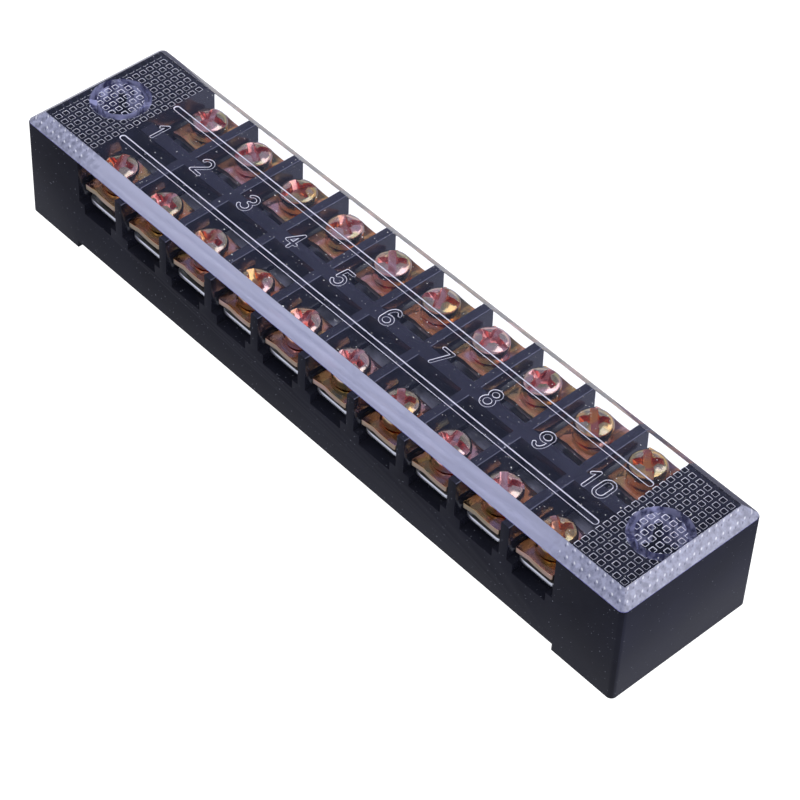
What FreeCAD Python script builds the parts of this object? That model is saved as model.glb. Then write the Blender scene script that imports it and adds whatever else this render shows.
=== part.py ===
import FreeCAD, Part
import math
import os

# Ten-pole barrier terminal strip with two rows of screws and a clear snap-on cover.
# The origin lies on the underside, midway between the feet. X runs along the strip,
# Y across it from the front row to the rear row, and Z up. All sizes are millimetres.

Vector = FreeCAD.Vector

# The moulded base
pole_count = 10
pole_pitch = 9.0
barrier_thickness = 1.35
end_block_length = 10.8
base_width = 23.0
base_height = 15.5
barrier_height = 14.3
spine_thickness = 2.0
base_corner_radius = 0.8
foot_length = 10.0
foot_height = 1.1

# Seats and channels under the bars
bar_seat_height = 8.8
ledge_width = 1.05
channel_floor_height = 7.3
tip_bore_radius = 2.1
tip_bore_floor_height = 2.4

# Mounting holes in the end blocks
mount_hole_radius = 2.2
counterbore_radius = 4.2
counterbore_floor_height = 5.0

# Terminal bars
bar_width = 6.8
bar_thickness = 0.65
bar_setback = 1.05
bar_corner_radius = 1.2
bar_slot_clearance = 0.05
collar_wall = 0.6
collar_depth = 1.1

# Terminal screws
screw_row_setback = 4.1
shank_radius = 1.45
thread_clearance = 0.05
shank_length = 7.0
shank_tip_bevel = 0.35
head_radius = 2.5
head_side_height = 1.9
head_dome_height = 0.8
head_shoulder_radius = 0.85
slot_width = 0.85
slot_depth = 0.9
cross_width = 1.0
cross_depth = 1.45
cross_top_length = 4.4
cross_floor_length = 2.0
flare_top_radius = 1.15
flare_floor_radius = 0.5

# Clamp washers
clamp_width = 6.2
clamp_length = 7.2
clamp_thickness = 0.8
clamp_corner_radius = 0.3
clamp_hole_clearance = 0.2
crease_offset = 0.8
crease_rise = 0.33
valley_offset = 0.7
valley_rise = 0.02
far_edge_rise = 0.24

# How far each screw stands above its tight position, pole 1 first
front_lifts = [1.8, 1.5, 1.55, 1.15, 1.1, 1.0, 0.95, 1.1, 1.2, 1.1]
rear_lifts = [1.3, 1.5, 1.2, 1.4, 1.6, 1.8, 1.75, 1.65, 1.7, 1.8]

# How far each head is turned, in degrees, pole 1 first
front_turns = [115, 98, 102, 70, 87, 97, 134, 12, 47, 150]
rear_turns = [20, 65, 75, 62, 137, 28, 8, 96, 137, 140]

# Clear cover
cover_thickness = 1.65
cover_seat_height = 0.15
cover_seat_length = 9.2
cover_seat_inset = 0.3
cover_inset = 0.3
cover_edge_height = 0.1
cover_corner_radius = 1.2
cover_top_corner_radius = 0.2
rib_offset = 4.5
rib_root_width = 1.0
rib_crest_width = 0.72
rib_depth = 0.15
rib_end_radius = 0.35
rib_end_gap = 0.8
peg_clearance = 0.08
peg_wall = 1.0
peg_length = 5.0
peg_slot_width = 1.2
peg_slot_height = 3.2
peg_slot_count = 4

# Sizes that follow from the ones above
pole_opening = pole_pitch - barrier_thickness
pole_field_length = pole_count * pole_pitch - barrier_thickness
base_length = pole_field_length + 2 * end_block_length
half_length = base_length / 2
half_width = base_width / 2
screw_row_offset = half_width - screw_row_setback
half_spine = spine_thickness / 2
mount_hole_offset = half_length - end_block_length / 2
thread_hole_radius = shank_radius + thread_clearance
bar_top_height = bar_seat_height + bar_thickness
clamp_hole_radius = shank_radius + clamp_hole_clearance
clamp_peak = clamp_thickness + crease_rise
head_height = head_side_height + head_dome_height
cover_underside = base_height + cover_seat_height
cut_margin = 1.0


def pole_x(pole):
    """Centre of a pole along the strip, counted from 0."""
    return (pole - (pole_count - 1) / 2) * pole_pitch


def block(x0, x1, y0, y1, z0, z1):
    """Box between two corners."""
    return Part.makeBox(x1 - x0, y1 - y0, z1 - z0, Vector(x0, y0, z0))


def upright_cylinder(radius, x, y, z0, z1):
    """Cylinder that stands on z0 and ends at z1."""
    return Part.makeCylinder(radius, z1 - z0, Vector(x, y, z0))


def rounded_outline(half_x, half_y, radius, z):
    """Closed rectangle with round corners, drawn counterclockwise at height z."""
    inner_x = half_x - radius
    inner_y = half_y - radius
    corners = [
        (inner_x, inner_y, 0),
        (-inner_x, inner_y, 90),
        (-inner_x, -inner_y, 180),
        (inner_x, -inner_y, 270),
    ]
    edges = []
    for index, (cx, cy, start) in enumerate(corners):
        circle = Part.Circle(Vector(cx, cy, z), Vector(0, 0, 1), radius)
        edges.append(circle.toShape(math.radians(start), math.radians(start + 90)))
        arc_end = edges[-1].Vertexes[-1].Point
        nx, ny, next_start = corners[(index + 1) % len(corners)]
        angle = math.radians(next_start)
        line_end = Vector(nx + radius * math.cos(angle), ny + radius * math.sin(angle), z)
        edges.append(Part.LineSegment(arc_end, line_end).toShape())
    return Part.Wire(edges)


def rounded_plate(half_x, half_y, radius, z0, z1):
    """Upright prism over a rectangle with round corners."""
    outline = rounded_outline(half_x, half_y, radius, z0)
    return Part.Face(outline).extrude(Vector(0, 0, z1 - z0))


def turned(points, arc_middle=None):
    """Solid of revolution about Z from (radius, height) points that start and end on the axis.

    arc_middle, where given, bends the last edge into an arc through that point."""
    places = [Vector(radius, 0, height) for radius, height in points]
    edges = [Part.LineSegment(a, b).toShape() for a, b in zip(places[:-2], places[1:-1])]
    if arc_middle is None:
        edges.append(Part.LineSegment(places[-2], places[-1]).toShape())
    else:
        middle = Vector(arc_middle[0], 0, arc_middle[1])
        edges.append(Part.Arc(places[-2], middle, places[-1]).toShape())
    edges.append(Part.LineSegment(places[-1], places[0]).toShape())
    face = Part.Face(Part.Wire(edges))
    return face.revolve(Vector(0, 0, 0), Vector(0, 0, 1), 360)


def seat_cuts(pole, side):
    """Room over one pole's ledges and the bore for its screw tip, on one side of the spine."""
    x = pole_x(pole)
    half_opening = pole_opening / 2
    y_low, y_high = sorted((side * half_spine, side * (half_width + cut_margin)))
    above = base_height + cut_margin
    room = block(x - half_opening, x + half_opening, y_low, y_high, bar_seat_height, above)
    row = side * screw_row_offset
    tip_bore = upright_cylinder(tip_bore_radius, x, row, tip_bore_floor_height, channel_floor_height)
    return [room, tip_bore]


def channel_cut(pole):
    """Channel below the ledges, right through the base, that lets the bar's collars slide in."""
    x = pole_x(pole)
    half_channel = pole_opening / 2 - ledge_width
    across = half_width + cut_margin
    return block(x - half_channel, x + half_channel, -across, across, channel_floor_height, bar_seat_height)


def spine_slot(pole):
    """Slot under the spine that the pole's bar passes through."""
    x = pole_x(pole)
    half_slot = bar_width / 2 + bar_slot_clearance
    slot_top = bar_top_height + bar_slot_clearance
    return block(x - half_slot, x + half_slot, -half_spine, half_spine, bar_seat_height, slot_top)


def mount_hole_cuts(side):
    """Through hole and counterbore in one end block."""
    x = side * mount_hole_offset
    through = upright_cylinder(mount_hole_radius, x, 0, -cut_margin, counterbore_floor_height)
    wide = upright_cylinder(counterbore_radius, x, 0, counterbore_floor_height, base_height + cut_margin)
    return [through, wide]


def make_base():
    """One moulding: end blocks, barriers, spine, seats, channels and feet."""
    body = rounded_plate(half_length, half_width, base_corner_radius, 0, base_height)
    half_field = pole_field_length / 2
    across = half_width + cut_margin
    foot_face = half_length - foot_length
    cuts = [
        block(-half_field, half_field, -across, across, barrier_height, base_height + cut_margin),
        block(-foot_face, foot_face, -across, across, -cut_margin, foot_height),
    ]
    for pole in range(pole_count):
        cuts += seat_cuts(pole, -1)
        cuts += seat_cuts(pole, 1)
        cuts.append(channel_cut(pole))
        cuts.append(spine_slot(pole))
    cuts += mount_hole_cuts(-1)
    cuts += mount_hole_cuts(1)
    return body.cut(cuts).removeSplitter()


def make_bar(pole):
    """Flat strip across the base with two threaded holes in drawn collars."""
    x = pole_x(pole)
    half_bar = half_width - bar_setback
    plate = rounded_plate(bar_width / 2, half_bar, bar_corner_radius, bar_seat_height, bar_top_height)
    plate.translate(Vector(x, 0, 0))
    collar_radius = thread_hole_radius + collar_wall
    collar_bottom = bar_seat_height - collar_depth
    for side in (-1, 1):
        y = side * screw_row_offset
        plate = plate.fuse(upright_cylinder(collar_radius, x, y, collar_bottom, bar_seat_height))
        plate = plate.cut(upright_cylinder(thread_hole_radius, x, y, collar_bottom, bar_top_height))
    return plate.removeSplitter()


def make_clamp(pole, side, lift):
    """Square washer with one crease, its section drawn across the strip and carried along Y."""
    half_clamp = clamp_width / 2
    section = [
        Vector(-half_clamp, 0, 0),
        Vector(-crease_offset, 0, crease_rise),
        Vector(valley_offset, 0, valley_rise),
        Vector(half_clamp, 0, far_edge_rise),
    ]
    up = Vector(0, 0, clamp_thickness)
    raised = [point + up for point in section]
    edges = [
        Part.LineSegment(section[0], section[1]).toShape(),
        Part.Arc(section[1], section[2], section[3]).toShape(),
        Part.LineSegment(section[3], raised[3]).toShape(),
        Part.Arc(raised[3], raised[2], raised[1]).toShape(),
        Part.LineSegment(raised[1], raised[0]).toShape(),
        Part.LineSegment(raised[0], section[0]).toShape(),
    ]
    strip = Part.Face(Part.Wire(edges)).extrude(Vector(0, clamp_length, 0))
    strip.translate(Vector(0, -clamp_length / 2, 0))
    trim_top = clamp_peak + cut_margin
    trim = rounded_plate(half_clamp, clamp_length / 2, clamp_corner_radius, -cut_margin, trim_top)
    washer = strip.common(trim)
    washer = washer.cut(upright_cylinder(clamp_hole_radius, 0, 0, -cut_margin, trim_top))
    washer.translate(Vector(pole_x(pole), side * screw_row_offset, bar_top_height + lift))
    return washer


def cross_arm():
    """One arm pair of the cross recess: a wedge that narrows from the crown to its floor."""
    crown = head_height + cut_margin
    floor = head_height - cross_depth
    slope = (cross_top_length - cross_floor_length) / 2 / cross_depth
    crown_half = cross_top_length / 2 + slope * cut_margin
    floor_half = cross_floor_length / 2
    corners = [
        Vector(-crown_half, 0, crown),
        Vector(crown_half, 0, crown),
        Vector(floor_half, 0, floor),
        Vector(-floor_half, 0, floor),
    ]
    outline = Part.makePolygon(corners + corners[:1])
    arm = Part.Face(outline).extrude(Vector(0, cross_width, 0))
    arm.translate(Vector(0, -cross_width / 2, 0))
    return arm


def ring_edge(body, height):
    """The round edge of a turned body nearest to a height."""
    rings = [edge for edge in body.Edges if edge.Closed]
    return min(rings, key=lambda edge: abs(edge.CenterOfMass.z - height))


def make_screw(pole, side, lift, turn):
    """Pan head screw with a plain shank, a flared cross recess and a slot across the whole head."""
    tip = -shank_length
    side_points = [
        (0, tip),
        (shank_radius - shank_tip_bevel, tip),
        (shank_radius, tip + shank_tip_bevel),
        (shank_radius, 0),
        (head_radius, 0),
        (head_radius, head_side_height),
        (0, head_height),
    ]
    dome_radius = (head_radius ** 2 + head_dome_height ** 2) / (2 * head_dome_height)
    middle_radius = head_radius / 2
    middle_drop = dome_radius - math.sqrt(dome_radius ** 2 - middle_radius ** 2)
    body = turned(side_points, (middle_radius, head_height - middle_drop))
    body = body.makeFillet(head_shoulder_radius, [ring_edge(body, head_side_height)])
    along = cross_arm()
    flare_floor = head_height - cross_depth
    flare = Part.makeCone(flare_floor_radius, flare_top_radius, cross_depth, Vector(0, 0, flare_floor))
    across = along.copy()
    across.rotate(Vector(0, 0, 0), Vector(0, 0, 1), 90)
    reach = head_radius + cut_margin
    slot_floor = head_height - slot_depth
    slot = block(-reach, reach, -slot_width / 2, slot_width / 2, slot_floor, head_height + cut_margin)
    screw = body.cut([along, across, slot, flare])
    screw.rotate(Vector(0, 0, 0), Vector(0, 0, 1), turn)
    seat = bar_top_height + clamp_peak + lift
    screw.translate(Vector(pole_x(pole), side * screw_row_offset, seat))
    return screw


def make_peg(side):
    """Split tube that pushes into the counterbore of one end block."""
    x = side * mount_hole_offset
    bottom = base_height - peg_length
    outer_radius = counterbore_radius - peg_clearance
    tube = upright_cylinder(outer_radius, x, 0, bottom, cover_underside)
    tube = tube.cut(upright_cylinder(outer_radius - peg_wall, x, 0, bottom, cover_underside))
    reach = outer_radius + cut_margin
    half_slot = peg_slot_width / 2
    for index in range(peg_slot_count):
        slot = block(0, reach, -half_slot, half_slot, bottom, bottom + peg_slot_height)
        slot.rotate(Vector(0, 0, 0), Vector(0, 0, 1), (index + 0.5) * 360 / peg_slot_count)
        slot.translate(Vector(x, 0, 0))
        tube = tube.cut(slot)
    return tube


def make_cover_seat(side):
    """Low patch under one end of the plate that rests on the end block, open inside the peg."""
    half_seat = half_width - cover_inset - cover_seat_inset
    outer_end = half_length - cover_inset - cover_seat_inset
    x_low, x_high = sorted((side * (outer_end - cover_seat_length), side * outer_end))
    seat = block(x_low, x_high, -half_seat, half_seat, base_height, cover_underside)
    inside_peg = counterbore_radius - peg_clearance - peg_wall
    return seat.cut(upright_cylinder(inside_peg, side * mount_hole_offset, 0, base_height, cover_underside))


def make_rib(side):
    """Long low ridge under the plate whose sides draw in from root to crest."""
    root_half = pole_field_length / 2 - rib_end_gap
    draw = (rib_root_width - rib_crest_width) / 2
    root = rounded_outline(root_half, rib_root_width / 2, rib_end_radius, cover_underside)
    crest_z = cover_underside - rib_depth
    crest = rounded_outline(root_half - draw, rib_crest_width / 2, rib_end_radius, crest_z)
    rib = Part.makeLoft([root, crest], True, True)
    rib.translate(Vector(0, side * rib_offset, 0))
    return rib


def make_cover():
    """Clear plate with bevelled upper edges, two seats and two ribs below, and two split pegs."""
    half_x = half_length - cover_inset
    half_y = half_width - cover_inset
    edge_top = cover_underside + cover_edge_height
    top = cover_underside + cover_thickness
    bevel = cover_thickness - cover_edge_height
    rim = rounded_plate(half_x, half_y, cover_corner_radius, cover_underside, edge_top)
    lower = rounded_outline(half_x, half_y, cover_corner_radius, edge_top)
    upper = rounded_outline(half_x - bevel, half_y - bevel, cover_top_corner_radius, top)
    cover = rim.fuse(Part.makeLoft([lower, upper], True, True))
    for side in (-1, 1):
        for piece in (make_cover_seat(side), make_rib(side), make_peg(side)):
            cover = cover.fuse(piece)
    return cover.removeSplitter()


def save(shape, name):
    """Write one piece, checked to be a sound solid."""
    if not shape.isValid():
        raise ValueError(name + " is not a valid shape")
    if len(shape.Solids) != 1:
        raise ValueError(name + " is not one solid")
    shape.Solids[0].exportStep("parts/" + name + ".step")


def main():
    os.makedirs("parts", exist_ok=True)
    save(make_base(), "barrier_base")
    save(make_cover(), "clear_cover")
    rows = [("front", -1, front_lifts, front_turns), ("rear", 1, rear_lifts, rear_turns)]
    for pole in range(pole_count):
        number = "%02d" % (pole + 1)
        save(make_bar(pole), "terminal_bar_" + number)
        for row, side, lifts, turns in rows:
            lift = lifts[pole % len(lifts)]
            turn = turns[pole % len(turns)]
            save(make_clamp(pole, side, lift), "clamp_" + row + "_" + number)
            save(make_screw(pole, side, lift, turn), "screw_" + row + "_" + number)


main()
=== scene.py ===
import bpy
import bmesh
import math
import numpy as np
from mathutils import Matrix, Vector


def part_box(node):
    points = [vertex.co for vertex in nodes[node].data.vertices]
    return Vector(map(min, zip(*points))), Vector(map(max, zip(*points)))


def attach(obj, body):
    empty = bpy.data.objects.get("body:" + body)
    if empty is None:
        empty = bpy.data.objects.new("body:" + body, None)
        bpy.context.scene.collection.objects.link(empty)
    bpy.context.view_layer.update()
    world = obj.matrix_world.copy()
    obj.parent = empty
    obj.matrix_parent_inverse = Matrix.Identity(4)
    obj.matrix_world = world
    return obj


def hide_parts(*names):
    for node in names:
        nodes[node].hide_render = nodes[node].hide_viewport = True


# A ten-pole barrier terminal strip: black base, through bars, clamp washers, screws and a clear cover.
# Lengths in the dictionaries are millimetres unless a note says otherwise; meshes are metres in the
# part's own frame.

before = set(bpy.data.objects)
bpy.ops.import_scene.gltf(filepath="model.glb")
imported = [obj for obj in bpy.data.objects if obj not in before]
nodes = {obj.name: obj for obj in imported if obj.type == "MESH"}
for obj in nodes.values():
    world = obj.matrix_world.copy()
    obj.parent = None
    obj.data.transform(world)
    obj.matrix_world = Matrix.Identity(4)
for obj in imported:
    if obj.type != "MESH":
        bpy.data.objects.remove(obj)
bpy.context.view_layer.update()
mm = 0.001
poleCount = len([name for name in nodes if name.startswith("terminal_bar_")])
print("frame loaded:", len(nodes), "nodes,", poleCount, "poles")


def boxMm(name):
    # a node's lowest and highest corners in millimetres
    low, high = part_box(name)
    return np.array(low) / mm, np.array(high) / mm


# camera, at the photograph's viewing angle
cameraSet = {
    "place": (184.822, -175.937, 265.058),
    "heading": 135.497,          # degrees, from +X towards +Y
    "lookDown": 46.188,          # degrees
    "roll": 3.126,               # degrees
    "focalPixels": 2885.2,
    "imageWidth": 800,           # pixels
    "sensorWidth": 36.0,
    "clip": (0.01, 20.0),        # metres
}


def makeCamera(s):
    # the view's own axes from its heading and its fall, then rolled about the line of sight
    heading, down, roll = (math.radians(s[key]) for key in ("heading", "lookDown", "roll"))
    level = math.cos(down)
    ahead = Vector((math.cos(heading) * level, math.sin(heading) * level, -math.sin(down)))
    levelRight = Vector((math.sin(heading), -math.cos(heading), 0))
    levelUp = levelRight.cross(ahead)
    right = levelRight * math.cos(roll) + levelUp * math.sin(roll)
    up = right.cross(ahead)
    data = bpy.data.cameras.new("viewCamera")
    data.sensor_width = s["sensorWidth"]
    data.lens = s["focalPixels"] / s["imageWidth"] * s["sensorWidth"]
    data.clip_start, data.clip_end = s["clip"]
    camera = bpy.data.objects.new("viewCamera", data)
    bpy.context.scene.collection.objects.link(camera)
    turn = Matrix((right, up, -ahead)).transposed().to_4x4()
    camera.matrix_world = Matrix.Translation(Vector(s["place"]) * mm) @ turn
    bpy.context.scene.camera = camera


makeCamera(cameraSet)


# node-tree helpers

def newMaterial(name):
    material = bpy.data.materials.new(name)
    material.use_nodes = True
    tree = material.node_tree
    tree.nodes.clear()
    output = tree.nodes.new("ShaderNodeOutputMaterial")
    return material, tree, output


def addNode(tree, kind, settings=None, **inputs):
    # one node, its settings, and its inputs by name, or by number after an i: a value, or a socket to link
    node = tree.nodes.new("ShaderNode" + kind)
    for key, value in (settings or {}).items():
        setattr(node, key, value)
    for key, value in inputs.items():
        numbered = key[0] == "i" and key[1:].isdigit()
        socket = node.inputs[int(key[1:]) if numbered else key.replace("_", " ")]
        if isinstance(value, bpy.types.NodeSocket):
            tree.links.new(value, socket)
        else:
            socket.default_value = value
    return node


def calculate(tree, operation, *values):
    inputs = {"i%d" % place: value for place, value in enumerate(values)}
    return addNode(tree, "Math", {"operation": operation}, **inputs).outputs[0]


def mixColours(tree, share, first, second):
    # the first colour where share is 0 and the second where it is 1
    return addNode(tree, "Mix", {"data_type": "RGBA"}, i0=share, i6=first, i7=second).outputs[2]


def spread(tree, value, start=0.0, end=1.0, low=0.0, high=1.0):
    # low where the value is at start, high where it is at end, and held beyond them
    return addNode(tree, "MapRange", Value=value, i1=start, i2=end, i3=low, i4=high).outputs["Result"]


def ramp(tree, factor, stops):
    # colour ramp from (position, colour) stops
    node = tree.nodes.new("ShaderNodeValToRGB")
    elements = node.color_ramp.elements
    while len(elements) < len(stops):
        elements.new(0.5)
    for element, (position, colour) in zip(elements, stops):
        element.position = position
        element.color = (*colour, 1)
    tree.links.new(factor, node.inputs["Fac"])
    return node.outputs["Color"]


def objectPlace(tree):
    return addNode(tree, "TexCoord").outputs["Object"]


def axesOf(tree, vector):
    return addNode(tree, "SeparateXYZ", Vector=vector).outputs


def rayFacts(tree):
    return addNode(tree, "LightPath").outputs


def objectNoise(tree, size, detail=3.0, roughness=0.55, stretch=(1, 1, 1), shift=(0, 0, 0)):
    # noise on Object coordinates whose blobs are about size millimetres
    scale = tuple(1 / (size * mm * k) for k in stretch)
    mapped = addNode(tree, "Mapping", Vector=objectPlace(tree), Scale=scale, Location=shift).outputs["Vector"]
    noise = addNode(tree, "TexNoise", Vector=mapped, Scale=1.0, Detail=detail, Roughness=roughness)
    return noise.outputs["Fac"]


def bumpFrom(tree, height, depth, normal=None):
    # bump of depth millimetres
    node = addNode(tree, "Bump", Height=height, Strength=1.0, Distance=depth * mm)
    if normal is not None:
        tree.links.new(normal, node.inputs["Normal"])
    return node.outputs["Normal"]


def speckMask(tree, size, limit):
    # 1 on a few specks of about size millimetres, where the noise stands above its limit
    softness = 0.02
    return spread(tree, objectNoise(tree, size, detail=0.0), limit, limit + softness)


# black moulding: one plastic, a little different in tone and gloss on each kind of face; the lighter tones on
# the tops and the end faces are painted light

blackTones = ((0.0060, 0.0063, 0.0105), (0.0105, 0.0112, 0.0180))
# painted light: the tops of the barriers and the spine are painted about three times lighter than the sides,
# as if lit from above
paintedLitTopTones = ((0.018, 0.0185, 0.030), (0.026, 0.027, 0.043))
# painted light: the end faces are painted a little lighter than the sides, as if they faced the lamp
paintedLitEndTones = ((0.0085, 0.0092, 0.0165), (0.0140, 0.0147, 0.0260))
mouldingFinishes = {
    "blackMoulding": {"tones": blackTones, "gloss": (0.36, 0.50), "specular": 0.06},
    "blackMouldingInside": {"tones": blackTones, "gloss": (0.10, 0.18), "specular": 0.8},
    "blackMouldingPaintedLitTop": {"tones": paintedLitTopTones, "gloss": (0.30, 0.42), "specular": 0.10, "paintedEdgeHighlight": True},
    "blackMouldingPaintedLitEnd": {"tones": paintedLitEndTones, "gloss": (0.36, 0.50), "specular": 0.08},
}
mouldingSet = {
    "index": 1.52,
    "cloudSize": 9.0,
    "cloudDetail": 4.0,
    "cloudStops": (0.35, 0.75),
    "dust": (0.16, 0.17, 0.20, 1),
    "dustSize": 0.20,
    "dustLimit": 0.845,
    "grain": 0.25,
    "grainDetail": 2.0,
    "grainDepth": 0.0015,
    "edgeHighlightColour": (0.105, 0.108, 0.150, 1),    # painted highlight along the right-hand top edge of each barrier
    "edgeWidth": 0.15,
    "barrierHalf": 0.67,
    "spineHalf": 1.0,
}


def paintedEdgeHighlightMask(tree, s):
    # painted highlight: 1 on a line along one top edge of every barrier, which stand between the poles,
    # outside the spine: the fraction of X over the pole pitch places the line, and the size of Y leaves the
    # spine out
    place = axesOf(tree, objectPlace(tree))
    polePitch = boxMm("terminal_bar_02")[0][0] - boxMm("terminal_bar_01")[0][0]
    cells = calculate(tree, "DIVIDE", place["X"], polePitch * mm)
    cells = calculate(tree, "FRACT", calculate(tree, "ADD", cells, 0.5 * (poleCount + 1)))
    middle = 0.5 + (s["barrierHalf"] - s["edgeWidth"] / 2) / polePitch
    away = calculate(tree, "ABSOLUTE", calculate(tree, "SUBTRACT", cells, middle))
    near = calculate(tree, "LESS_THAN", away, s["edgeWidth"] / 2 / polePitch)
    aside = calculate(tree, "ABSOLUTE", place["Y"])
    outside = calculate(tree, "GREATER_THAN", aside, s["spineHalf"] * mm)
    return calculate(tree, "MULTIPLY", near, outside)


def blackMoulding(name, s, finish):
    material, tree, output = newMaterial(name)
    cloud = objectNoise(tree, s["cloudSize"], detail=s["cloudDetail"])
    colour = ramp(tree, cloud, list(zip(s["cloudStops"], finish["tones"])))
    colour = mixColours(tree, speckMask(tree, s["dustSize"], s["dustLimit"]), colour, s["dust"])
    if finish.get("paintedEdgeHighlight"):
        # painted highlight along the right-hand top edges of the barriers
        colour = mixColours(tree, paintedEdgeHighlightMask(tree, s), colour, s["edgeHighlightColour"])
    smooth, rough = finish["gloss"]
    grain = objectNoise(tree, s["grain"], detail=s["grainDetail"])
    shader = addNode(
        tree, "BsdfPrincipled", Base_Color=colour, Roughness=spread(tree, cloud, low=smooth, high=rough),
        Specular_IOR_Level=finish["specular"], IOR=s["index"], Normal=bumpFrom(tree, grain, s["grainDepth"]),
    )
    tree.links.new(shader.outputs["BSDF"], output.inputs["Surface"])
    return material


mouldings = [blackMoulding(name, mouldingSet, finish) for name, finish in mouldingFinishes.items()]


# clear plastic: colour, roughness, the share of light let through, and what else varies on each finish

coverFinishes = {
    "clearPlastic": ((0.97, 0.97, 0.995), 0.0, 1.0, "specks"),
    "clearFrost": ((0.80, 0.81, 0.88), 0.5, 0.05, None),
    "clearBevel": ((0.37, 0.385, 0.52), 0.10, 0.50, "paintedPadReflections"),
    "clearPegs": ((0.06, 0.06, 0.13), 0.08, 0.30, "clouds"),
    "clearRim": ((0.13, 0.13, 0.34), 0.10, 0.30, None),
}
coverLook = {
    "index": 1.585,
    "tint": (0.97, 0.97, 0.995, 1),                # of the light that passes on to what lies below
    "absorbed": (0.51, 0.51, 0.695, 1),
    "density": 50.0,                               # per metre
    "speckSize": 0.22,
    "speckLimit": 0.85,
    "speckColour": (1, 1, 1, 1),
    "speckThrough": 0.25,
    "cloudSize": 1.5,
    "cloudStretch": (1, 1, 3),
    "cloudStops": (0.42, 0.56),
    "cloudPale": (0.62, 0.64, 0.88),
    "mottleSize": 0.7,
    "mottleStops": (0.35, 0.65),
    "padReflectionTones": ((0.24, 0.25, 0.35), (0.42, 0.435, 0.58)),    # painted reflection of the pad fields: the bevels' tones at the ends
    "padReflectionPitch": (1.21, 0.80),                     # along the bevels and up them
    "padReflectionStart": 44.0,
    "padReflectionFade": 3.0,
    "padReflectionRadius": (0.15, 0.06),                    # in cells: where a painted reflected pad begins and where it is full
    "paintedPadReflections": (((0.0, 0.1), (0.82, 0.83, 0.92, 1)), ((0.28, 0.35), (0.16, 0.165, 0.25, 1))),
}


def cellDistance(tree, place, pitch, shift):
    # distance from the middle of a cell, in cells: u = X + Y runs along the strip and v = Z up it
    parts = axesOf(tree, place)
    along = calculate(tree, "ADD", parts["X"], parts["Y"])
    squares = []
    for value, size, offset in zip((along, parts["Z"]), pitch, shift):
        cells = calculate(tree, "MULTIPLY_ADD", value, 1 / (size * mm), offset)
        away = calculate(tree, "SUBTRACT", calculate(tree, "FRACT", cells), 0.5)
        squares.append(calculate(tree, "MULTIPLY", away, away))
    return calculate(tree, "SQRT", calculate(tree, "ADD", *squares))


def bevelPadReflections(tree, s, colour):
    # painted reflection: towards the strip's ends the bevels turn mottled, with rows of pale and dark marks
    # on them that stand for the pad fields seen in them
    place = objectPlace(tree)
    across = calculate(tree, "ABSOLUTE", axesOf(tree, place)["X"])
    start, fade = s["padReflectionStart"] * mm, s["padReflectionFade"] * mm
    ends = calculate(tree, "GREATER_THAN", across, start)
    noise = objectNoise(tree, s["mottleSize"], detail=2.0)
    mottle = ramp(tree, noise, list(zip(s["mottleStops"], s["padReflectionTones"])))
    colour = mixColours(tree, spread(tree, across, start - fade, start + fade), colour, mottle)
    for shift, tone in s["paintedPadReflections"]:
        near = spread(tree, cellDistance(tree, place, s["padReflectionPitch"], shift), *s["padReflectionRadius"])
        colour = mixColours(tree, calculate(tree, "MULTIPLY", near, ends), colour, tone)
    return colour


def clearPlastic(name, s, finish):
    # clear moulding that lets lamp light pass, with a faint blue-violet depth
    material, tree, output = newMaterial(name)
    tone, roughness, through, detail = finish
    colour = (*tone, 1)
    if detail == "specks":
        mask = speckMask(tree, s["speckSize"], s["speckLimit"])
        colour = mixColours(tree, mask, colour, s["speckColour"])
        through = spread(tree, mask, low=through, high=s["speckThrough"])
    elif detail == "clouds":
        cloud = objectNoise(tree, s["cloudSize"], detail=2.0, stretch=s["cloudStretch"])
        colour = ramp(tree, cloud, list(zip(s["cloudStops"], (tone, s["cloudPale"]))))
    # painted reflection of the pads on the ends of the bevels
    elif detail == "paintedPadReflections":
        colour = bevelPadReflections(tree, s, colour)
    shader = addNode(
        tree, "BsdfPrincipled", Base_Color=colour, Roughness=roughness, IOR=s["index"],
        Transmission_Weight=through,
    )
    passing = addNode(tree, "BsdfTransparent", Color=s["tint"])
    mixed = addNode(
        tree, "MixShader", i0=rayFacts(tree)["Is Shadow Ray"], i1=shader.outputs["BSDF"],
        i2=passing.outputs["BSDF"],
    )
    tree.links.new(mixed.outputs["Shader"], output.inputs["Surface"])
    inside = addNode(tree, "VolumeAbsorption", Color=s["absorbed"], Density=s["density"])
    tree.links.new(inside.outputs["Volume"], output.inputs["Volume"])
    return material


clearFinishes = [clearPlastic(name, coverLook, finish) for name, finish in coverFinishes.items()]


# yellow zinc plating on screws and washers

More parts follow.
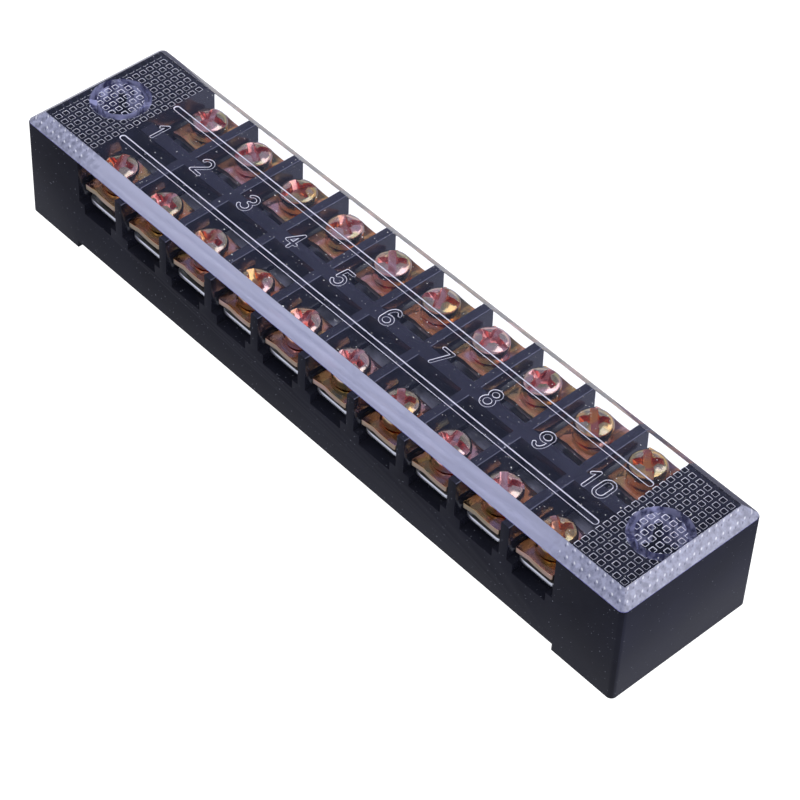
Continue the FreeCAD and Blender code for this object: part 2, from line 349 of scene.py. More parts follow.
olive, tan, gold = (0.42, 0.38, 0.22), (0.66, 0.56, 0.46), (0.82, 0.52, 0.20)
crimson, rose = (0.60, 0.21, 0.18), (0.88, 0.56, 0.54)
amber, copper = (0.74, 0.30, 0.09), (0.90, 0.42, 0.22)
zincFinishes = {
    "screwZinc": {
        "palettes": (
            [(0.30, olive), (0.45, tan), (0.58, rose), (0.70, olive)],
            [(0.30, tan), (0.45, olive), (0.58, gold), (0.70, tan)],
        ),
        "gloss": (0.10, 0.20),
    },
    "screwRecess": {
        "palettes": (
            [(0.35, crimson), (0.50, rose), (0.65, crimson)],
            [(0.35, amber), (0.50, crimson), (0.65, gold)],
        ),
        "gloss": (0.12, 0.22),
    },
    "clampZinc": {
        "palettes": (
            [(0.30, olive), (0.40, gold), (0.52, copper), (0.68, rose)],
            [(0.32, gold), (0.43, copper), (0.54, amber), (0.68, rose)],
        ),
        "gloss": (0.07, 0.14),
        "shift": (7, 3, 1),
    },
    "clampEdge": {
        "palettes": (
            [(0.35, (0.38, 0.28, 0.20)), (0.65, (0.28, 0.23, 0.15))],
            [(0.35, (0.33, 0.24, 0.15)), (0.65, (0.40, 0.27, 0.22))],
        ),
        "gloss": (0.26, 0.38),
    },
    # painted shade: the washers' undersides are painted nearly black, as the shade of the gap below them
    "clampUnderPaintedShade": {
        "palettes": (
            [(0.35, (0.10, 0.08, 0.05)), (0.65, (0.07, 0.06, 0.04))],
            [(0.35, (0.09, 0.07, 0.04)), (0.65, (0.06, 0.05, 0.03))],
        ),
        "gloss": (0.40, 0.50),
    },
}
zincSet = {
    "region": 9.0,               # size of the change of palette along the strip
    "regionLimits": (0.42, 0.58),
    "blotch": 2.6,
    "blotchDetail": 1.5,
    "blotchRoughness": 0.4,
    "scratch": 0.10,
    "scratchDetail": 2.0,
    "scratchDepth": 0.002,
    "dent": 0.9,
    "dentDetail": 1.0,
    "dentDepth": 0.03,
}


def yellowZinc(name, s, finish):
    # iridescent plating: blotches run through two palettes, and a slow noise shifts from one to the other
    material, tree, output = newMaterial(name)
    shift = finish.get("shift", (0, 0, 0))
    blotch = objectNoise(tree, s["blotch"], s["blotchDetail"], s["blotchRoughness"], shift=shift)
    region = objectNoise(tree, s["region"], detail=0.0, shift=shift)
    first, second = (ramp(tree, blotch, stops) for stops in finish["palettes"])
    colour = mixColours(tree, spread(tree, region, *s["regionLimits"]), first, second)
    fine = objectNoise(tree, s["scratch"], detail=s["scratchDetail"])
    smooth, rough = finish["gloss"]
    dents = bumpFrom(tree, objectNoise(tree, s["dent"], detail=s["dentDetail"]), s["dentDepth"])
    shader = addNode(
        tree, "BsdfPrincipled", Base_Color=colour, Metallic=1.0,
        Roughness=spread(tree, fine, low=smooth, high=rough),
        Normal=bumpFrom(tree, fine, s["scratchDepth"], dents),
    )
    tree.links.new(shader.outputs["BSDF"], output.inputs["Surface"])
    return material


zinc = {name: yellowZinc(name, zincSet, finish) for name, finish in zincFinishes.items()}


silverSet = {
    "rub": 0.3,
    "rubStretch": (6, 1, 1),
    "rubDepth": 0.004,
    "toneStops": (0.3, 0.7),
    "tones": ((0.62, 0.64, 0.68), (0.80, 0.82, 0.86)),
    "gloss": 0.30,
}


def silverPlate(s):
    material, tree, output = newMaterial("silverPlate")
    rub = objectNoise(tree, s["rub"], stretch=s["rubStretch"])
    shader = addNode(
        tree, "BsdfPrincipled", Base_Color=ramp(tree, rub, list(zip(s["toneStops"], s["tones"]))),
        Metallic=1.0, Roughness=s["gloss"], Normal=bumpFrom(tree, rub, s["rubDepth"]),
    )
    tree.links.new(shader.outputs["BSDF"], output.inputs["Surface"])
    return material


silver = silverPlate(silverSet)
print("materials made")


# mesh helpers

def linkMesh(name, points, faces):
    # a new object from points in millimetres
    mesh = bpy.data.meshes.new(name)
    mesh.from_pydata(np.asarray(points, float) * mm, [], faces)
    mesh.update()
    mesh.validate()
    thing = bpy.data.objects.new(name, mesh)
    bpy.context.scene.collection.objects.link(thing)
    return thing


def settle(thing):
    # apply the live modifiers to the mesh
    bpy.context.view_layer.update()
    graph = bpy.context.evaluated_depsgraph_get()
    mesh = bpy.data.meshes.new_from_object(thing.evaluated_get(graph))
    thing.modifiers.clear()
    thing.data = mesh


def smoothShade(mesh, degrees):
    mesh.shade_smooth()
    mesh.set_sharp_from_angle(angle=math.radians(degrees))


def faceData(mesh):
    # the unit normal and the centre, in millimetres, of every face
    count = len(mesh.polygons)
    normals, centres = np.empty(count * 3), np.empty(count * 3)
    mesh.polygons.foreach_get("normal", normals)
    mesh.polygons.foreach_get("center", centres)
    return normals.reshape(-1, 3), centres.reshape(-1, 3) / mm


def vertexPlaces(mesh):
    # every vertex in millimetres
    places = np.empty(len(mesh.vertices) * 3)
    mesh.vertices.foreach_get("co", places)
    return places.reshape(-1, 3) / mm


# the clear cover

baseHigh = boxMm("barrier_base")[1]
coverTop = boxMm("clear_cover")[1][2]
coverSet = {
    "thickness": 1.76,
    "edgeHeight": 0.14,
    "rim": 0.03,                 # how far the plate's outline lies inside the base's
    "bevelRun": 1.82,
    "cornerRadius": 0.9,
    "topCornerRadius": 0.25,
    "edgeRounding": 0.12,
    "cornerSteps": 12,
    "smooth": 12,                # degrees
    "reliefDepth": 0.14,
    "reliefRoot": 0.08,          # how far the relief reaches up into the plate before they are joined
    "shoulder": (0.06, 0.08),    # depth and width of the slanting shoulder round the numerals and pads
    "steep": 0.01,               # how much the side draws in below the shoulder
    "ribOffset": 4.5,
    "ribHalfLength": 43.5,
    "ribHalfWidth": 0.50,
    "digitHeight": 3.40,
    "digitHalfStroke": 0.27,
    "digitNarrow": 0.54,         # half width over half height
    "digitStep": 1.6,            # from one digit to the next, over half height
    "digitShift": (-0.97, -0.16),
    "padInner": 44.65,
    "padPitch": (1.243, 1.169),
    "padCount": (8, 19),
    "padShiftY": -0.2,
    "padHalf": 0.40,
    "padCorner": 0.3,            # corner radius over half width
    "pegRadius": 4.12,
    "pegWall": 1.0,
    "pegLength": 5.0,
    "pegLead": (0.3, 0.18),      # height and width of the chamfer at the foot
    "pegSlotHeight": 3.2,
    "pegRow": 49.725,
    "pegStations": 96,
    "pegSlots": 4,
    "pegSlotStations": 5,
}
coverUnderside = coverTop - coverSet["thickness"]


def roundedOutline(halfX, halfY, radius, steps):
    # rectangle with round corners: each corner is a quarter circle of radius about its own centre
    angle = np.linspace(0, np.pi / 2, steps)
    turn = np.arange(4)[:, None] * np.pi / 2 + angle[None, :]
    signX = np.array([1, -1, -1, 1])[:, None]
    signY = np.array([1, 1, -1, -1])[:, None]
    x = signX * (halfX - radius) + radius * np.cos(turn)
    y = signY * (halfY - radius) + radius * np.sin(turn)
    return np.stack([x.ravel(), y.ravel()], axis=1)


def stackOutlines(outlines, heights):
    # closed solid between the first and last outline; every outline has the same number of points
    levels, count = len(outlines), len(outlines[0])
    points = np.concatenate([np.column_stack([o, np.full(count, z)]) for o, z in zip(outlines, heights)])
    level, step = np.meshgrid(np.arange(levels - 1), np.arange(count), indexing="ij")
    a = level * count + step
    b = level * count + (step + 1) % count
    faces = np.stack([a, b, b + count, a + count], axis=-1).reshape(-1, 4).tolist()
    faces += [list(range(count))[::-1], [(levels - 1) * count + k for k in range(count)]]
    if heights[-1] < heights[0]:
        faces = [face[::-1] for face in faces]
    return points, faces


def joined(parts):
    # several (points, faces) as one
    points, faces, start = [], [], 0
    for somePoints, someFaces in parts:
        points.append(somePoints)
        faces += [[index + start for index in face] for face in someFaces]
        start += len(somePoints)
    return np.concatenate(points), faces


def coverPlate(s):
    # the outline carried up the plate's side, then in along the bevel to the top face
    halfX, halfY = baseHigh[0] - s["rim"], baseHigh[1] - s["rim"]
    rise, run, r = s["thickness"] - s["edgeHeight"], s["bevelRun"], s["edgeRounding"]
    # rounding between bevel and top: a circle of radius r tangent to both, on a slope of 45 degrees,
    # and the whole slope is then stretched to its run
    left = np.pi / 4 - np.linspace(0, np.pi / 4, 4)
    back = r * math.tan(math.pi / 8)
    slope = rise - back * math.cos(math.pi / 4) + r * (math.sin(math.pi / 4) - np.sin(left))
    inset = np.concatenate([[0, 0], slope * run / rise])
    sides = [coverUnderside, coverUnderside + s["edgeHeight"]]
    height = np.concatenate([sides, coverTop - r * (1 - np.cos(left))])
    share = np.clip(inset / run, 0, 1)
    radius = s["cornerRadius"] + (s["topCornerRadius"] - s["cornerRadius"]) * share
    outlines = [roundedOutline(halfX - i, halfY - i, k, s["cornerSteps"]) for i, k in zip(inset, radius)]
    return stackOutlines(outlines, height)


capSet = {
    "steps": 5,
    "start": 0.1,                # share of a quarter turn at which the round end begins
    "reach": 0.97,               # share of a quarter turn at which it stops, just short of a point
}


def stroke(path, halves, heights, closed=False):
    # a ridge carried along a path: its half width at each height is given from the root to the crest,
    # and at an open end it narrows as the cosine of an angle while it runs on as the sine
    path = np.asarray(path, float)
    if closed:
        along = np.roll(path, -1, axis=0) - np.roll(path, 1, axis=0)
        stretch, width, middle = np.zeros(len(path)), np.ones(len(path)), path
    else:
        along, extra = np.gradient(path, axis=0), capSet["steps"]
        cap = np.linspace(capSet["start"], 1, extra) * np.pi / 2 * capSet["reach"]
        middle, along = (
            np.concatenate([np.repeat(rows[:1], extra, axis=0), rows, np.repeat(rows[-1:], extra, axis=0)])
            for rows in (path, along)
        )
        stretch = np.concatenate([-np.sin(cap[::-1]), np.zeros(len(path)), np.sin(cap)])
        width = np.concatenate([np.cos(cap[::-1]), np.ones(len(path)), np.cos(cap)])
    along = along / np.linalg.norm(along, axis=1, keepdims=True)
    left = np.column_stack([-along[:, 1], along[:, 0]])
    section = list(zip(halves, heights))
    ring = [(half, 1, z) for half, z in section[::-1]] + [(half, -1, z) for half, z in section]
    corners = []
    for half, side, z in ring:
        place = middle + along * (stretch * half)[:, None] + left * (side * width * half)[:, None]
        corners.append(np.column_stack([place, np.full(len(place), z)]))
    points = np.stack(corners, axis=1).reshape(-1, 3)
    count, sides = len(middle), len(ring)
    station, corner = np.meshgrid(np.arange(count if closed else count - 1), np.arange(sides), indexing="ij")
    ahead, other = (station + 1) % count, (corner + 1) % sides
    faces = [station * sides + corner, station * sides + other, ahead * sides + other, ahead * sides + corner]
    faces = np.stack(faces, axis=-1).reshape(-1, 4).tolist()
    if not closed:
        faces += [list(range(sides))[::-1], [(count - 1) * sides + k for k in range(sides)]]
    return points, faces


def arcPath(cx, cy, rx, ry, start, end, steps=20):
    # points on an ellipse about (cx, cy) from the start angle to the end angle, in degrees
    angle = np.radians(np.linspace(start, end, steps))
    return np.column_stack([cx + rx * np.cos(angle), cy + ry * np.sin(angle)])


def digitPaths(digit, h, w):
    # the strokes of one plain numeral of half height h and half width w, each straight, an arc of an
    # ellipse or both: (points, closed). The 3 and the 8 have a smaller bowl on top of a larger one.

    def line(*ends):
        return np.array(ends, float)

    def ring(cx, cy, rx, ry):
        return arcPath(cx, cy, rx, ry, 0, 348, 30)

    r = w * 0.95
    sixTail = np.concatenate([arcPath(0, 0.12 * h, w, 0.88 * h, 42, 180, 18), line((-w, -h + r))])
    threeBowl = h - 0.92 * r
    eightBowl = (2 * h - 1.8 * r) / 2
    shapes = {
        "0": [
            (np.concatenate([
                arcPath(0, h - w, w, w, 0, 180, 14),
                arcPath(0, -h + w, w, w, 180, 360, 14),
            ]), True),
        ],
        "1": [
            (line((0.25 * w, -h), (0.25 * w, h)), False),
            (line((0.25 * w, h), (-0.6 * w, 0.52 * h)), False),
        ],
        "2": [
            (np.concatenate([arcPath(0, h - w, w, w, 165, -30, 16), line((-w, -h))]), False),
            (line((-w, -h), (w, -h)), False),
        ],
        "3": [
            (arcPath(0, threeBowl, r, 0.92 * r, 150, -90, 18), False),
            (arcPath(0, h - 1.84 * r - threeBowl, 1.05 * w, threeBowl, 90, -155, 20), False),
        ],
        "4": [
            (line((0.4 * w, -h), (0.4 * w, h)), False),
            (line((0.4 * w, h), (-w, -0.38 * h)), False),
            (line((-w, -0.38 * h), (w, -0.38 * h)), False),
        ],
        "5": [
            (line((0.8 * w, h), (-0.7 * w, h)), False),
            (line((-0.7 * w, h), (-0.85 * w, 0.08 * h)), False),
            (arcPath(-0.05 * w, -h + 0.60 * h, w, 0.60 * h, 145, -150, 22), False),
        ],
        "6": [(ring(0, -h + r, w, r), True), (sixTail, False)],
        "7": [(line((-w, h), (w, h)), False), (line((w, h), (-0.35 * w, -h)), False)],
        "8": [(ring(0, h - 0.9 * r, 0.9 * w, 0.9 * r), True), (ring(0, -h + eightBowl, w, eightBowl), True)],
        "9": [(ring(0, h - r, w, r), True), (-sixTail, False)],
    }
    return shapes[digit]


def coverRibs(s):
    # two straight ribs that draw in towards their crests
    depth, root = s["reliefDepth"], s["reliefRoot"]
    heights = [coverUnderside + root, coverUnderside - depth]
    halves = [s["ribHalfWidth"] + root, s["ribHalfWidth"] - depth]
    paths = [np.array([(-1, 1), (1, 1)]) * (s["ribHalfLength"], side * s["ribOffset"]) for side in (-1, 1)]
    return [stroke(path, halves, heights) for path in paths]


def coverDigits(s, inset, heights):
    # the pole numbers, each centred over its bar and then moved by one shift for the whole row
    halfStroke = s["digitHalfStroke"]
    half = s["digitHeight"] / 2 - halfStroke
    solids = []
    for pole in range(poleCount):
        low, high = boxMm("terminal_bar_%02d" % (pole + 1))
        text = str(pole + 1)
        for place, digit in enumerate(text):
            middle = (low[0] + high[0]) / 2 + (place - (len(text) - 1) / 2) * half * s["digitStep"]
            for points, closed in digitPaths(digit, half, half * s["digitNarrow"]):
                moved = points + np.array([middle, 0]) + s["digitShift"]
                solids.append(stroke(moved, halfStroke - inset, heights, closed))
    return solids


def coverPads(s, inset, heights):
    # a field of small square pads under each end of the plate
    outlines = [roundedOutline(half, half, half * s["padCorner"], 3) for half in s["padHalf"] - inset]
    points, faces = stackOutlines(outlines, heights)
    columns, rows = s["padCount"]
    solids = []
    for side in (-1, 1):
        for column in range(columns):
            x = side * (s["padInner"] + column * s["padPitch"][0])
            for row in range(rows):
                y = (row - (rows - 1) / 2) * s["padPitch"][1] + s["padShiftY"]
                solids.append((points + np.array([x, y, 0]), faces))
    return solids


def coverRelief(s):
    # ribs, numerals and pads that stand down from the plate's underside: the last two share a section
    # with a slanting shoulder and a steep side
    root, (shoulderDepth, shoulderWidth) = s["reliefRoot"], s["shoulder"]
    heights = [coverUnderside - below for below in (-root, 0, shoulderDepth, s["reliefDepth"])]
    inset = np.array([-root * shoulderWidth / shoulderDepth, 0, shoulderWidth, shoulderWidth + s["steep"]])
    return joined(coverRibs(s) + coverDigits(s, inset, heights) + coverPads(s, inset, heights))


def coverPeg(s, side):
    # split tube: radius and height by level and angle, closed above and slotted below
    count = s["pegStations"]
    leadHeight, leadWidth = s["pegLead"]
    bottom = baseHigh[2] - s["pegLength"]
    above = coverUnderside + s["reliefRoot"]
    heights = np.array([bottom, bottom + leadHeight, bottom + s["pegSlotHeight"], above])
    outer = s["pegRadius"] - np.array([leadWidth, 0, 0, 0])
    inner = np.full(4, s["pegRadius"] - s["pegWall"])
    angle = 2 * np.pi * np.arange(count) / count
    radius = np.stack([outer, inner], axis=1)[:, :, None]
    x = side * s["pegRow"] + radius * np.cos(angle)
    y = radius * np.sin(angle)
    z = np.broadcast_to(heights[:, None, None], x.shape)
    points = np.stack([x, y, z], axis=-1).reshape(-1, 3)
    k = np.arange(count)
    spacing = count / s["pegSlots"]
    slotted = (k + s["pegSlotStations"] / 2 + spacing / 2) % spacing < s["pegSlotStations"]
    everywhere = np.ones(count, bool)
    faces = []

    def spot(level, wall, station):
        return (level * 2 + wall) * count + station % count

    def quads(corners, chosen, flip=False):
        block = np.stack(corners, axis=-1)[chosen]
        faces.extend((block[:, ::-1] if flip else block).tolist())

    for level in range(3):
        chosen = ~slotted if level < 2 else everywhere
        for wall in (0, 1):
            low, high = ([spot(row, wall, k), spot(row, wall, k + 1)] for row in (level, level + 1))
            quads(low + high[::-1], chosen, flip=wall == 1)
    for level, chosen, flip in ((0, ~slotted, False), (2, slotted, False), (3, everywhere, True)):
        corners = [spot(level, 1, k), spot(level, 1, k + 1), spot(level, 0, k + 1), spot(level, 0, k)]
        quads(corners, chosen, flip)
    before = np.roll(slotted, 1)
    for level in (0, 1):
        corners = [spot(level, 0, k), spot(level, 1, k), spot(level + 1, 1, k), spot(level + 1, 0, k)]
        quads(corners, slotted & ~before)
        quads(corners, ~slotted & before, flip=True)
    return points, faces


coverFaceSet = {
    "margin": 0.01,
    "shoulderSlant": (0.3, 0.95),    # share of the normal that points up or down, on slanting sides
    "bevelSlant": 0.87,
    "bevelSeen": 0.1,                # share of the normal towards +X or -Y, on the two bevels that show
    "reliefUpright": 0.05,
    "edgeUpright": 0.1,
}


def finishByFace(cover, s, faces):
    # 1 slanting sides of the relief, 2 front and right bevels, 3 pegs and the relief's upright sides,
    # 4 the thin side below the bevels; the rest of the cover is clear
    normals, centres = faceData(cover.data)
    x, y, height = centres.T
    slant = np.abs(normals[:, 2])
    reach = s["rim"] + s["bevelRun"]
    crest, edge = coverUnderside - s["reliefDepth"], coverUnderside + s["edgeHeight"]
    underBevel = (np.abs(x) > baseHigh[0] - reach) | (np.abs(y) > baseHigh[1] - reach)
    inRelief = (height < coverUnderside - faces["margin"]) & (height > crest + faces["margin"])
    least, most = faces["shoulderSlant"]
    finish = np.zeros(len(slant), np.int32)
    finish[inRelief & (slant < most) & (slant > least) & ~underBevel] = 1
    seen = (normals[:, 0] > faces["bevelSeen"]) | (normals[:, 1] < -faces["bevelSeen"])
    finish[(height > edge) & (slant < faces["bevelSlant"]) & seen] = 2
    finish[(height < crest - faces["margin"]) | (inRelief & (slant < faces["reliefUpright"]))] = 3
    finish[(height > coverUnderside) & (height < edge) & (slant < faces["edgeUpright"])] = 4
    cover.data.polygons.foreach_set("material_index", finish)


def makeCover(s):
    cover = linkMesh("cover_plate_clear", *coverPlate(s))
    relief = linkMesh("coverRelief", *coverRelief(s))
    pegs = linkMesh("coverPegs", *joined([coverPeg(s, -1), coverPeg(s, 1)]))
    for other in (pegs, relief):
        union = cover.modifiers.new("union", "BOOLEAN")
        union.operation = "UNION"
        union.solver = "EXACT"
        union.use_self = True
        union.object = other
        settle(cover)
        bpy.data.objects.remove(other)
    cover.data.materials.clear()
    for finish in clearFinishes:
        cover.data.materials.append(finish)
    finishByFace(cover, s, coverFaceSet)
    smoothShade(cover.data, s["smooth"])
    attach(cover, "cover")
    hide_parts("clear_cover")
    return cover


cover = makeCover(coverSet)
print("cover made:", len(cover.data.polygons), "faces")


# the base and the metal, as the frame gives them, with softened edges

edgeSet = {
    "base": 0.16,
    "bar": 0.05,
    "clamp": 0.10,
    "screw": 0.06,
    "segments": 2,
    "limit": 30,                 # degrees: sharper edges are rounded
    "smooth": 40,                # degrees
    "weld": 0.001,
    "flat": 0.6,                 # degrees: flatter edges are dissolved first
    "screwFlat": 0.05,           # the same on the screws
}


def softenedCopy(node, name, material, width, flat, s):
    # the node's own shape with its sharp edges rounded by width millimetres
    mesh = nodes[node].data.copy()
    work = bmesh.new()
    work.from_mesh(mesh)
    bmesh.ops.remove_doubles(work, verts=work.verts, dist=s["weld"] * mm)
    bmesh.ops.dissolve_limit(work, angle_limit=math.radians(flat), verts=work.verts, edges=work.edges)
    work.to_mesh(mesh)
    work.free()
    mesh.materials.clear()
    mesh.materials.append(material)
    thing = bpy.data.objects.new(name, mesh)
    bpy.context.scene.collection.objects.link(thing)
    bevel = thing.modifiers.new("edge", "BEVEL")
    bevel.width = width * mm
    bevel.segments = s["segments"]
    bevel.limit_method = "ANGLE"
    bevel.angle_limit = math.radians(s["limit"])
    bevel.use_clamp_overlap = True
    settle(thing)
    smoothShade(thing.data, s["smooth"])
    return thing


def dress(node, body, materials, width, flat=edgeSet["flat"]):
    # the first material covers the piece; the others wait for the faces that take them
    piece = softenedCopy(node, node + "_finished", materials[0], width, flat, edgeSet)
    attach(piece, body)
    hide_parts(node)
    for other in materials[1:]:
        piece.data.materials.append(other)
    return piece


wallSet = {
    "flatTop": 0.985,            # share of the normal that points up
    "topBand": (0.5, 1.5),       # how far the barriers' tops lie below the end blocks'
    "steep": 0.3,
    "outerMargin": 0.3,
    "lowest": 3.0,
    "endMargin": 0.1,
}


def finishWalls(base, s):
    # 0 matte outside, 1 smoother sides of the barriers and the spine, 2 their tops, painted lighter as
    # painted light and with painted edge highlights, 3 end faces, painted a little lighter as painted light
    normals, centres = faceData(base.data)
    x, y, z = np.abs(centres[:, 0]), np.abs(centres[:, 1]), centres[:, 2]
    least, most = s["topBand"]
    tops = (normals[:, 2] > s["flatTop"]) & (z > baseHigh[2] - most) & (z < baseHigh[2] - least)
    inside = (y < baseHigh[1] - s["outerMargin"]) & (x < baseHigh[0] - s["outerMargin"])
    finish = (inside & (np.abs(normals[:, 2]) < s["steep"]) & (z > s["lowest"])).astype(np.int32)
    # painted light: the tops and the end faces take the materials that are painted lighter
    finish[tops] = 2
    finish[x > baseHigh[0] - s["endMargin"]] = 3
    base.data.polygons.foreach_set("material_index", finish)


headSet = {
    "sideHeight": 1.9,
    "domeHeight": 0.8,
    "domeReach": 2.9,            # radius at which the dome's curve has fallen by its height
    "recessDepth": 0.10,         # a face this far below the dome is in the recess
    "recessReach": 2.4,
    "recessFloor": 0.2,          # how far the recess stays above the head's underside
}


def finishHead(screw, node, s):
    # 1 the faces of the cross and slot recess; the dome falls from the middle as the radius squared
    low, high = boxMm(node)
    normals, centres = faceData(screw.data)
    radius = np.linalg.norm(centres[:, :2] - (low[:2] + high[:2]) / 2, axis=1)
    dome = high[2] - s["domeHeight"] * (radius / s["domeReach"]) ** 2
    floor = high[2] - s["domeHeight"] - s["sideHeight"] + s["recessFloor"]
    height = centres[:, 2]
    inRecess = (height < dome - s["recessDepth"]) & (height > floor) & (radius < s["recessReach"])
    screw.data.polygons.foreach_set("material_index", inRecess.astype(np.int32))


# the washer's upper face from left to right of its middle: (place, height)
clampSet = {
    "packed": [(-3.1, 0), (-0.8, 0.33), (-0.2, 0.155), (0.7, 0.02), (1.6, 0.02), (2.4, 0.10), (3.1, 0.24)],
    "worn": [(-3.1, 0), (-0.8, 0.40), (-0.2, 0.27), (0.7, 0.20), (1.6, 0.19), (2.4, 0.22), (3.1, 0.27)],
    "sheared": 0.3,              # share of the normal that points up or down, on the edges at most
    "under": 0.8,                # and on the underside at least
}


def creaseClamp(clamp, node, s):
    # raise the washer from its crease to its far edge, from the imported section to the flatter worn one
    low, high = boxMm(node)
    places = vertexPlaces(clamp.data)
    x = places[:, 0] - (low[0] + high[0]) / 2
    packed, worn = (np.array(s[key]).T for key in ("packed", "worn"))
    places[:, 2] += np.interp(x, *worn) - np.interp(x, *packed)
    clamp.data.vertices.foreach_set("co", (places * mm).ravel())
    clamp.data.update()


def finishClamp(clamp, s):
    # 1 the sheared edges, 2 the underside, painted dark as painted shade
    upwards = faceData(clamp.data)[0][:, 2]
    finish = (np.abs(upwards) < s["sheared"]).astype(np.int32)
    finish[upwards < -s["under"]] = 2
    clamp.data.polygons.foreach_set("material_index", finish)


threadSet = {
    "shankLength": 7.0,
    "shankRadius": 1.45,
    "core": 1.20,
    "rootDepth": 0.04,           # how far the ridge reaches into the core
    "crest": 1.44,
    "crestWidth": 0.10,
    "leastCrest": 0.02,          # share of the full ridge at its two ends
    "pitch": 0.5,
    "tipRun": 0.35,
    "headRun": 0.30,
    "stations": 20,
    "seatMargin": 0.01,
    "shankMargin": 0.1,
}


def threadRidge(x, y, bottom, top, s):
    # a ridge wound round the shank: the height grows by one pitch a turn, and the crest fades in and out
    pitch, halfCrest = s["pitch"], s["crestWidth"] / 2
    turns = (top - bottom) / pitch - 1
    angle = np.linspace(0, 2 * np.pi * turns, int(turns * s["stations"]))
    height = bottom + pitch * (angle / (2 * np.pi) + 0.5)
    fade = np.clip(np.minimum(angle, angle[-1] - angle) / np.pi, s["leastCrest"], 1)
    crest = s["core"] + (s["crest"] - s["core"]) * fade
    root = np.full(len(angle), s["core"] - s["rootDepth"])
    corners = [(root, -pitch / 2), (crest, -halfCrest), (crest, halfCrest), (root, pitch / 2)]
    cosine, sine = np.cos(angle), np.sin(angle)
    rings = [np.column_stack([x + r * cosine, y + r * sine, height + rise]) for r, rise in corners]
    points = np.stack(rings, axis=1).reshape(-1, 3)
    station, corner = np.meshgrid(np.arange(len(angle) - 1), np.arange(4), indexing="ij")
    first, other = station * 4, (corner + 1) % 4
    faces = np.stack([first + corner, first + 4 + corner, first + 4 + other, first + other], axis=-1)
    last = (len(angle) - 1) * 4
    return points, faces.reshape(-1, 4).tolist() + [[0, 1, 2, 3], [last + 3, last + 2, last + 1, last]]


def addThread(screw, node, s):
    # the plain shank is turned down to the core, and the ridge is added to it
    low, high = boxMm(node)
    middle = (low[:2] + high[:2]) / 2
    seat = low[2] + s["shankLength"]
    mesh = screw.data
    places = vertexPlaces(mesh)
    radius = np.linalg.norm(places[:, :2] - middle, axis=1)
    shank = (radius < s["shankRadius"] + s["shankMargin"]) & (radius > s["core"])
    shank &= places[:, 2] < seat + s["seatMargin"]
    places[shank, :2] = middle + (places[shank, :2] - middle) * (s["core"] / radius[shank])[:, None]
    mesh.vertices.foreach_set("co", (places * mm).ravel())
    ridge = linkMesh("ridge", *threadRidge(*middle, low[2] + s["tipRun"], seat - s["headRun"], s))
    work = bmesh.new()
    work.from_mesh(mesh)
    work.from_mesh(ridge.data)
    work.to_mesh(mesh)
    work.free()
    bpy.data.objects.remove(ridge)
    smoothShade(mesh, edgeSet["smooth"])


clampMetals = [zinc[name] for name in ("clampZinc", "clampEdge", "clampUnderPaintedShade")]
screwMetals = [zinc[name] for name in ("screwZinc", "screwRecess")]
base = dress("barrier_base", "base", mouldings, edgeSet["base"])
finishWalls(base, wallSet)
for pole in range(poleCount):
    number = "%02d" % (pole + 1)
    dress("terminal_bar_" + number, "base", [silver], edgeSet["bar"])
    for row in ("front", "rear"):
        clampName, screwName = "clamp_%s_%s" % (row, number), "screw_%s_%s" % (row, number)
        clamp = dress(clampName, clampName, clampMetals, edgeSet["clamp"])
        finishClamp(clamp, clampSet)
        creaseClamp(clamp, clampName, clampSet)
        screw = dress(
            screwName, screwName, screwMetals, edgeSet["screw"], edgeSet["screwFlat"],
        )
        finishHead(screw, screwName, headSet)
        addThread(screw, screwName, threadSet)
print("base, bars, clamps and screws dressed")


# floor, lamps and world

studioSet = {
    "floorSize": 3.0,                        # metres
    "floorColour": (0.45, 0.45, 0.48, 1),
    "floorInGloss": (0.74, 0.75, 0.86, 1),   # the paper as the object mirrors it
    "behind": (0.24, 0.24, 0.34, 1),         # and the dark beyond it
    "behindRooms": (0.90, 0.90, 0.95, 1),    # the same between these ends in X, behind the poles
    "roomEnds": (-0.075, 0.014),             # metres
    "underCover": (0.42, 0.43, 0.56, 1),     # the paper as the walls under the cover mirror it
    "paperEnd": (0.026, 0.034),              # metres: where the paper begins to change and where it ends
    "backdrop": 1.4,                         # strength of floor and sky seen straight
    "guided": 1.0,                           # and of the sky seen along the inside of the plate
    "guidedBounces": 4.5,
    "innerPasses": 2.5,                      # more passes through clear faces: mirrored under the plate
    "skyColour": (0.92, 0.93, 1.0, 1),
    "skyTop": 2.1,                           # light on matte surfaces from straight above
    "skyLow": 0.8,                           # and from the horizon
    "mirrored": (0.38, 0.37, 0.50, 1),       # the sky in such reflections
    "veil": (0.115, 0.13, 0.225, 1),         # and in all others, such as those off the plate itself
    "horizon": (0.85, 0.84, 0.86, 1),        # the paler band at the horizon, and where it gives way
    "horizonRise": (0.25, 0.60),
    "shadowShare": 0.10,
}


def pathKinds(tree, s):
    # three kinds of ray, each a 0 or 1: seen straight or through clear plastic; led along inside the
    # clear plate by many reflections; mirrored by the object. The first and the last are 0 on rays that
    # a matte face has scattered.
    rays = rayFacts(tree)
    through, mirrored = rays["Is Transmission Ray"], rays["Glossy Depth"]
    scattered = calculate(tree, "GREATER_THAN", rays["Diffuse Depth"], 0.5)
    once = calculate(tree, "GREATER_THAN", mirrored, 0.5)
    bounced = calculate(tree, "MAXIMUM", once, scattered)
    plain = calculate(tree, "SUBTRACT", through, bounced)
    straight = calculate(tree, "MAXIMUM", rays["Is Camera Ray"], plain)
    often = calculate(tree, "GREATER_THAN", mirrored, s["guidedBounces"])
    guided = calculate(tree, "MULTIPLY", through, often)
    glossy = calculate(tree, "MAXIMUM", rays["Is Glossy Ray"], calculate(tree, "MULTIPLY", through, once))
    glossy = calculate(tree, "MULTIPLY", glossy, calculate(tree, "SUBTRACT", 1.0, scattered))
    return straight, guided, glossy


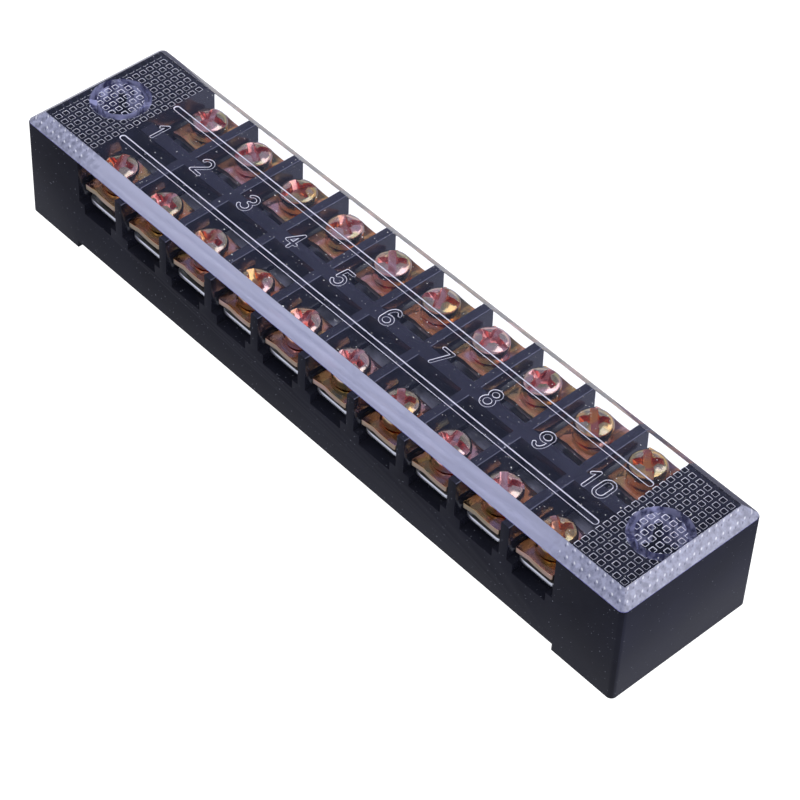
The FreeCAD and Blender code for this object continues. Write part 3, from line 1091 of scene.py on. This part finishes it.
def floorTone(tree, s, straight, white):
    # white where it is seen straight; otherwise the paper, which changes beyond its rear edge
    place = axesOf(tree, objectPlace(tree))
    first, last = s["roomEnds"]
    aside = calculate(tree, "ABSOLUTE", calculate(tree, "SUBTRACT", place["X"], (first + last) / 2))
    rooms = calculate(tree, "LESS_THAN", aside, (last - first) / 2)
    inside = calculate(tree, "GREATER_THAN", rayFacts(tree)["Transmission Depth"], 0.5)
    far = mixColours(tree, inside, mixColours(tree, rooms, s["behind"], s["behindRooms"]), white)
    tone = mixColours(tree, spread(tree, place["Y"], *s["paperEnd"]), s["floorInGloss"], far)
    covered = calculate(tree, "MULTIPLY", inside, rayFacts(tree)["Is Glossy Ray"])
    tone = mixColours(tree, covered, tone, s["underCover"])
    return mixColours(tree, straight, tone, white)


def makeFloor(s):
    # most of the floor's light is its own, so that it looks plain; the rest takes the object's shadow
    half = s["floorSize"] / 2 / mm
    corners = [(-half, -half, 0), (half, -half, 0), (half, half, 0), (-half, half, 0)]
    floor = linkMesh("floor", corners, [(0, 1, 2, 3)])
    material, tree, output = newMaterial("paleFloor")
    straight, guided, glossy = pathKinds(tree, s)
    seen = calculate(tree, "MAXIMUM", calculate(tree, "MAXIMUM", straight, guided), glossy)
    share = calculate(tree, "MULTIPLY", seen, 1 - s["shadowShare"])
    tone = floorTone(tree, s, straight, (s["backdrop"], s["backdrop"], s["backdrop"], 1))
    plain = addNode(tree, "BsdfDiffuse", Color=s["floorColour"]).outputs["BSDF"]
    lit = addNode(tree, "Emission", Color=tone).outputs["Emission"]
    mixed = addNode(tree, "MixShader", i0=share, i1=plain, i2=lit)
    tree.links.new(mixed.outputs["Shader"], output.inputs["Surface"])
    floor.data.materials.append(material)


def makeWorld(s):
    # an even sky on matte faces, a darker one with a pale horizon in reflections, and white seen straight
    world = bpy.data.worlds.new("studioWorld")
    bpy.context.scene.world = world
    world.use_nodes = True
    tree = world.node_tree
    tree.nodes.clear()
    output = tree.nodes.new("ShaderNodeOutputWorld")

    def sky(**inputs):
        return addNode(tree, "Background", **inputs).outputs["Background"]

    height = axesOf(tree, addNode(tree, "TexCoord").outputs["Generated"])["Z"]
    low, high = s["horizonRise"]
    rise = addNode(tree, "MapRange", {"interpolation_type": "SMOOTHSTEP"}, Value=height, i1=low, i2=high)
    inside = calculate(tree, "GREATER_THAN", rayFacts(tree)["Transmission Depth"], s["innerPasses"])
    above = mixColours(tree, inside, s["veil"], s["mirrored"])
    reflected = sky(Color=mixColours(tree, rise.outputs["Result"], s["horizon"], above))
    strength = spread(tree, height, low=s["skyLow"], high=s["skyTop"])
    layers = sky(Color=s["skyColour"], Strength=strength)
    along, white = (sky(Color=(1, 1, 1, 1), Strength=s[key]) for key in ("guided", "backdrop"))
    straight, guided, glossy = pathKinds(tree, s)
    for share, light in ((glossy, reflected), (guided, along), (straight, white)):
        layers = addNode(tree, "MixShader", i0=share, i1=layers, i2=light).outputs["Shader"]
    tree.links.new(layers, output.inputs["Surface"])


lampSet = {
    "place": (0.56, 0.25, 0.59),             # metres
    "aim": (0, 0, 0),
    "size": (0.8, 0.8),                      # metres
    "power": 3.6,                            # watts
    "colour": (1, 0.98, 0.98),
}


def makeLamp(name, s):
    data = bpy.data.lights.new(name, "AREA")
    data.shape = "RECTANGLE"
    data.size, data.size_y = s["size"]
    data.energy = s["power"]
    data.color = s["colour"]
    lamp = bpy.data.objects.new(name, data)
    bpy.context.scene.collection.objects.link(lamp)
    lamp.location = s["place"]
    lamp.rotation_euler = (Vector(s["aim"]) - Vector(s["place"])).to_track_quat("-Z", "Y").to_euler()


makeFloor(studioSet)
makeWorld(studioSet)
makeLamp("side", lampSet)

bounceSet = {
    "max_bounces": 32,
    "glossy_bounces": 24,
    "transmission_bounces": 24,
    "transparent_max_bounces": 16,
}
scene = bpy.context.scene
scene.view_settings.view_transform = "Standard"
for kind, count in bounceSet.items():
    setattr(scene.cycles, kind, count)
print("studio made")
